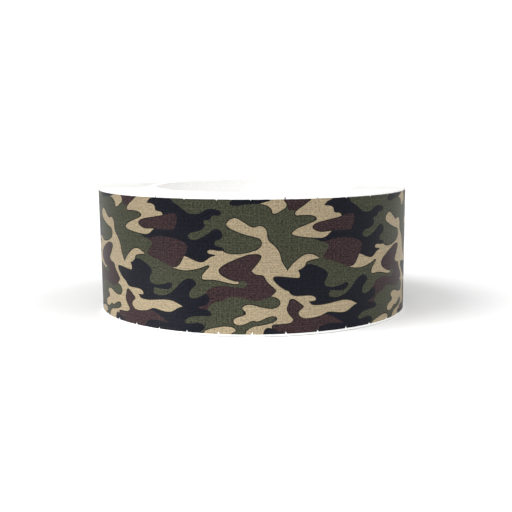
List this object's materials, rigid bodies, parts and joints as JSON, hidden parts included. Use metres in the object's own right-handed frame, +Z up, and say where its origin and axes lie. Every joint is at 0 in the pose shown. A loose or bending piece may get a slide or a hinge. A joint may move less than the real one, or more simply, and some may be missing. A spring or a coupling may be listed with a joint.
{
  "type": "roll of cloth tape",
  "caption": "Roll of pressure-sensitive cloth tape with a printed camouflage film, wound on a paper core, with a free end that peels off.",
  "frame": {"origin": "centre of the core's bore, in the plane of the flat face that the roll stands on", "axes": "+Z up along the roll's axis; the tape's free end is at the back, near +Y, and points to -X"},
  "size_m": [0.1208, 0.121, 0.048],
  "materials": {
    "printed_film": "satin",
    "cloth_scrim": "matte",
    "adhesive": "satin",
    "wound_tape": "matte",
    "core_paper": "matte"
  },
  "bodies": {
    "roll": {"core_inner_liner": "core_paper", "core_ply_1": "core_paper", "core_ply_2": "core_paper", "core_ply_3": "core_paper", "core_ply_4": "core_paper", "core_outer_wrap": "core_paper", "wound_turns": "wound_tape", "outer_turn_adhesive": "adhesive", "outer_turn_scrim": "cloth_scrim", "outer_turn_film": "printed_film"},
    "free_end": {"free_end_adhesive": "adhesive", "free_end_scrim": "cloth_scrim", "free_end_film": "printed_film"}
  },
  "joints": [
    {"name": "free_end_peel", "type": "hinge", "parent": "roll", "child": "free_end", "pos_m": [0.01038, 0.05974, 0.024], "axis": [0, 0, -1], "range_deg": [0, 120]}
  ]
}
